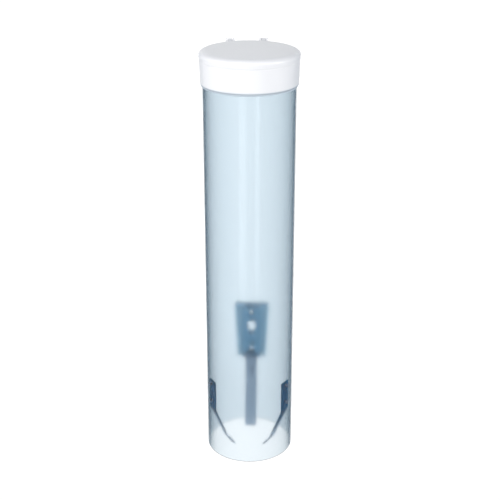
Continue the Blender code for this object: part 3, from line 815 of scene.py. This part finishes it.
def blended(value):
    """A smooth step from 0 to 1."""
    share = min(1.0, max(0.0, value))
    return share * share * (3.0 - 2.0 * share)


def end_width(width, corner, distance):
    """Half the width at a distance from an end with round corners."""
    if distance >= corner:
        return width / 2
    return width / 2 - corner + math.sqrt(corner ** 2 - (corner - distance) ** 2)


def strip_section(half_width, wall):
    """A closed outline of (across, through) points: a flat bar with rounded edges.

    The edge stays just under half the wall, so that its two arcs never share a point.
    """
    edge = min(STRIP_EDGE, wall / 2.001, half_width)
    across = half_width - edge
    through = wall / 2 - edge
    stations = [across * (2 * i / STRIP_COLUMNS - 1) for i in range(STRIP_COLUMNS)]
    points = [(station, wall / 2) for station in stations]
    points += arc((across, through), edge, 90.0, 0.0, EDGE_STEPS)
    points += arc((across, -through), edge, 0.0, -90.0, EDGE_STEPS)
    points += [(-station, -wall / 2) for station in stations[1:]]
    points += arc((-across, -through), edge, 270.0, 180.0, EDGE_STEPS)
    points += arc((-across, through), edge, 180.0, 90.0, EDGE_STEPS)[:-1]
    return points


def make_finger(side):
    """One strip for pad and blade, turned from one to the other at a bend; it is attached to no
    body.
    """
    joint = FINGER_JOINTS[side]
    place = finger_frame(side)
    flex = place.inverted() @ Vector(joint["pos_m"])
    pad_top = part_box("finger_pad_" + side)[1].z - place.translation.z
    line = strip_line(pad_top, flex.y, flex.z)
    start_run = line[0][3]
    end_run = line[-1][3]
    work = bmesh.new()
    rings = []
    for depth, height, lean, run in line:
        bent = blended((run + BEND_REACH) / (2 * BEND_REACH))
        wall = PAD_WALL + (BLADE_WALL - PAD_WALL) * bent
        half_width = min(end_width(FINGER_WIDTH, PAD_CORNER, run - start_run),
                         end_width(FINGER_WIDTH, BLADE_TIP_CORNER, end_run - run))
        nearest_end = min(run - start_run, end_run - run)
        wall *= math.sqrt(min(1.0, STRIP_END + nearest_end / STRIP_EDGE))
        ring = []
        for across, through in strip_section(half_width, wall):
            hollow = (1.0 - bent) * sag(flex.y + through, across)
            ring.append(work.verts.new((across,
                                        depth + through * math.cos(lean) - hollow,
                                        height - through * math.sin(lean))))
        rings.append(ring)
    for upper, lower in zip(rings, rings[1:]):
        for i in range(len(upper)):
            j = (i + 1) % len(upper)
            work.faces.new((upper[i], upper[j], lower[j], lower[i]))
    work.faces.new(rings[0][::-1])
    work.faces.new(rings[-1])
    bmesh.ops.recalc_face_normals(work, faces=work.faces)
    mesh = bpy.data.meshes.new("finger_" + side)
    work.to_mesh(mesh)
    work.free()
    strip = settled(placed("finger_" + side, mesh), place)
    drills = []
    start = PAD_INNER - OVERRUN
    for height in FINGER_RIVET_HEIGHTS.values():
        drills.append(drill(FINGER_RIVET_SHANK + GAP, start, PAD_OUTER + OVERRUN, place, height))
        drills.append(drill(FINGER_RIVET_TAIL + FINE_GAP, start, PAD_INNER + FINGER_RIVET_SINK,
                            place, height))
    strip = smooth(joined(strip, drills))
    dress(strip, "finger_blue", None, "finger_pad_" + side, "finger_blade_" + side)
    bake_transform(strip)


# Rivets

def rivet(name, slot, place, height, head_face, tail_face, head, dome, shank, tail, tail_height):
    """A domed rivet along Y. Its head is outside where head_face is beyond tail_face."""
    out = 1.0 if head_face > tail_face else -1.0
    profile = []
    for i in range(DOME_STEPS + 1):
        angle = math.pi / 2 * (1.0 - i / DOME_STEPS)
        profile.append((head * math.cos(angle), head_face + out * dome * math.sin(angle)))
    profile[0] = (0.0, head_face + out * dome)
    profile += [(shank, head_face), (shank, tail_face), (tail, tail_face),
                (tail, tail_face - out * (tail_height - TAIL_EDGE)),
                (tail - TAIL_EDGE, tail_face - out * tail_height),
                (0.0, tail_face - out * tail_height)]
    if out < 0.0:
        profile.reverse()
    piece = turned(name.replace("_rivet", "") + "_rivet", profile, RIVET_STEPS,
                   place @ Matrix.Translation((0.0, 0.0, height)) @ ALONG_Y)
    dress(smooth(piece), slot, "dispenser", name)


def make_rivets():
    recess = BRACKET_BACK - BRACKET_RIVET_SINK
    head_face = TUBE_BORE - FINE_GAP - sag(TUBE_BORE, BRACKET_RIVET_HEAD)
    for level, height in BRACKET_RIVET_HEIGHTS.items():
        rivet("bracket_rivet_" + level, "rivet_metal", DISPENSER, height, head_face, recess + GAP,
              BRACKET_RIVET_HEAD, BRACKET_RIVET_DOME, BRACKET_RIVET_SHANK,
              BRACKET_RIVET_TAIL, BRACKET_RIVET_TAIL_HEIGHT)
    tail_face = PAD_INNER + FINGER_RIVET_SINK - GAP
    for side in FINGER_JOINTS:
        for level, height in FINGER_RIVET_HEIGHTS.items():
            rivet("finger_rivet_" + side + "_" + level, "rivet_blue", finger_frame(side), height,
                  SOCKET_RADIUS, tail_face, FINGER_RIVET_HEAD, FINGER_RIVET_DOME,
                  FINGER_RIVET_SHANK, FINGER_RIVET_TAIL, FINGER_RIVET_TAIL_HEIGHT)


# Bracket and wall plate

def plate_half_width(height):
    share = (height - PLATE_BOTTOM) / (PLATE_TOP - PLATE_BOTTOM)
    return (PLATE_FOOT_WIDTH + (PLATE_TOP_WIDTH - PLATE_FOOT_WIDTH) * share) / 2


def channel_half_width(depth, height):
    """The channel is undercut: it narrows from its floor to its mouth."""
    share = (AXIS_DEPTH - PLATE_WEB - depth) / RAIL_DEPTH
    return plate_half_width(height) - RAIL_WALL - RAIL_UNDERCUT * share


def cutter(name, outline, thickness, depth):
    """A flat outline's cutter along Y, with its middle at a depth."""
    return prism(name, outline, thickness,
                 DISPENSER @ Matrix.Translation((0.0, depth, 0.0)) @ FACING_Y)


def make_wall_plate():
    front = AXIS_DEPTH - PLATE_WEB - RAIL_DEPTH
    floor = AXIS_DEPTH - PLATE_WEB
    plate = block("channel_plate", lambda depth, height: plate_half_width(height),
                  front, AXIS_DEPTH, PLATE_BOTTOM, PLATE_TOP, DISPENSER, PLATE_EDGE)
    window = rounded_box(WINDOW_WIDTH, WINDOW_BOTTOM, WINDOW_TOP - WINDOW_STEP, WINDOW_CORNER)
    cutters = [block("channel", channel_half_width, front - OVERRUN, floor,
                     PLATE_BOTTOM + PLATE_LEDGE, PLATE_TOP + OVERRUN, DISPENSER),
               cutter("window", window, AXIS_DEPTH, AXIS_DEPTH)]
    for height in (PLATE_BOTTOM + SLOT_INSET, PLATE_TOP - SLOT_INSET):
        slot = slot_outline(SLOT_LENGTH, SLOT_WIDTH, height)
        wide = slot_outline(SLOT_LENGTH + 2 * SLOT_SINK, SLOT_WIDTH + 2 * SLOT_SINK, height)
        cutters.append(cutter("slot", slot, AXIS_DEPTH, AXIS_DEPTH))
        cutters.append(cutter("sink", wide, PLATE_WEB, floor))
    dress(smooth(joined(plate, cutters)), "bracket_blue", "wall_mount", "wall_plate")


def make_bracket():
    def wedge_half_width(depth, height):
        return channel_half_width(depth, height) - GAP

    wedge = block("bracket_body", wedge_half_width, BRACKET_FRONT, BRACKET_BACK,
                  BRACKET_BOTTOM, BRACKET_TOP, DISPENSER, PLATE_EDGE)
    saddle = block("saddle", lambda depth, height: SADDLE_WIDTH / 2, TUBE_BORE,
                   (BRACKET_FRONT + BRACKET_BACK) / 2, BRACKET_BOTTOM, BRACKET_TOP, DISPENSER,
                   PLATE_EDGE)
    wedge = joined(wedge, [saddle], "UNION")
    seat = [(0.0, BRACKET_TOP + OVERRUN), (SOCKET_RADIUS, BRACKET_TOP + OVERRUN),
            (SOCKET_RADIUS, BRACKET_BOTTOM - OVERRUN), (0.0, BRACKET_BOTTOM - OVERRUN)]
    window = rounded_box(BRACKET_WINDOW_WIDTH, WINDOW_BOTTOM + BRACKET_WINDOW_LIFT, WINDOW_TOP,
                         WINDOW_CORNER)
    cutters = [turned("seat", seat, TUBE_STEPS, DISPENSER),
               cutter("window", window, AXIS_DEPTH, AXIS_DEPTH)]
    end = BRACKET_BACK + OVERRUN
    for height in BRACKET_RIVET_HEIGHTS.values():
        cutters.append(drill(BRACKET_RIVET_SHANK + GAP, TUBE_BORE - OVERRUN, end, DISPENSER,
                             height))
        cutters.append(drill(BRACKET_RIVET_TAIL + GAP, BRACKET_BACK - BRACKET_RIVET_SINK, end,
                             DISPENSER, height))
    cutters.append(drill(FINGER_RIVET_HEAD + 2 * GAP, TUBE_RADIUS - OVERRUN,
                         SOCKET_RADIUS + FINGER_RIVET_DOME + 2 * GAP, finger_frame("rear"),
                         FINGER_RIVET_HEIGHTS["upper"]))
    dress(smooth(joined(wedge, cutters)), "bracket_blue", "dispenser", "tube_bracket")


# Stage, light and camera

def make_stage():
    mesh = bpy.data.meshes.new("floor")
    work = bmesh.new()
    bmesh.ops.create_circle(work, cap_ends=True, segments=FLOOR_STEPS, radius=FLOOR_RADIUS)
    work.to_mesh(mesh)
    work.free()
    floor = placed("floor", mesh)
    floor.location = (0.0, 0.0, FLOOR_Z)
    mesh.materials.append(Paint("pale_floor", FLOOR_COLOUR, 0.9).material)

    corners = []
    for height in (FLOOR_Z, CARD_TOP):
        for i in range(CARD_COLUMNS + 1):
            share = 2.0 * i / CARD_COLUMNS - 1.0
            corners.append((CARD_X + share * CARD_HALF_WIDTH, CARD_Y - CARD_BEND * share ** 2,
                            height))
    faces = [(i, i + 1, i + CARD_COLUMNS + 2, i + CARD_COLUMNS + 1)
             for i in range(CARD_COLUMNS)]
    mesh = bpy.data.meshes.new("card")
    mesh.from_pydata(corners, [], faces)
    card = placed("card", mesh)
    paint = Paint("white_card", CARD_COLOUR, 1.0)
    paint.fix(Specular_IOR_Level=0.0, Emission_Color=(1.0, 1.0, 1.0, 1.0))
    paint.glow(CARD_GLOW_X, CARD_GLOW_REACH, CARD_GLOW_MIDDLE, CARD_GLOW, CARD_GLOW_FOOT,
               CARD_GLOW_HEIGHTS)
    mesh.materials.append(paint.material)


def area_light(name, power, size, location):
    light = bpy.data.lights.new(name, "AREA")
    light.shape = "RECTANGLE"
    light.size = size[0]
    light.size_y = size[1]
    light.energy = power
    lamp = placed(name, light)
    lamp.location = location
    lamp.visible_transmission = name in HIGH_LIGHTS
    aim = Vector((0.0, AXIS_Y, LIGHT_TARGET_Z)) - Vector(location)
    lamp.rotation_euler = aim.to_track_quat("-Z", "Y").to_euler()


def make_light():
    world = bpy.data.worlds.new("studio")
    world.use_nodes = True
    tree = world.node_tree
    background = tree.nodes["Background"]
    facing = tree.nodes.new("ShaderNodeVectorMath")
    facing.operation = "DOT_PRODUCT"
    facing.inputs[1].default_value = Vector(SKY_FRONT).normalized()
    share = tree.nodes.new("ShaderNodeMapRange")
    share.interpolation_type = "SMOOTHSTEP"
    share.inputs["From Min"].default_value = SKY_FROM
    share.inputs["From Max"].default_value = SKY_TO
    mix = tree.nodes.new("ShaderNodeMix")
    mix.data_type = "RGBA"
    mix.inputs["A"].default_value = (*SKY_BACK_COLOUR, 1.0)
    mix.inputs["B"].default_value = (*SKY_FRONT_COLOUR, 1.0)
    tree.links.new(tree.nodes.new("ShaderNodeTexCoord").outputs["Generated"], facing.inputs[0])
    tree.links.new(facing.outputs["Value"], share.inputs["Value"])
    tree.links.new(share.outputs["Result"], mix.inputs["Factor"])
    tree.links.new(mix.outputs["Result"], background.inputs["Color"])
    bpy.context.scene.world = world
    for name, power, size, location in LIGHTS:
        area_light(name, power, size, location)
    bpy.context.scene.view_settings.view_transform = "Standard"


def make_camera():
    data = bpy.data.cameras.new("camera")
    data.lens = VIEW_LENS
    data.sensor_width = VIEW_SENSOR
    data.clip_end = VIEW_REACH
    camera = placed("camera", data)
    camera.location = (VIEW_DISTANCE * math.sin(VIEW_TURN) + VIEW_ASIDE,
                       AXIS_Y - VIEW_DISTANCE * math.cos(VIEW_TURN), VIEW_HEIGHT + TUBE_LOW.z)
    camera.rotation_euler = (math.pi / 2 - VIEW_PITCH, 0.0, VIEW_TURN)
    bpy.context.scene.camera = camera


make_tube()
make_collar()
make_lid()
make_hinge_pins()
for finger_side in FINGER_JOINTS:
    make_finger(finger_side)
make_rivets()
make_wall_plate()
make_bracket()
make_stage()
make_light()
make_camera()

bpy.context.view_layer.update()
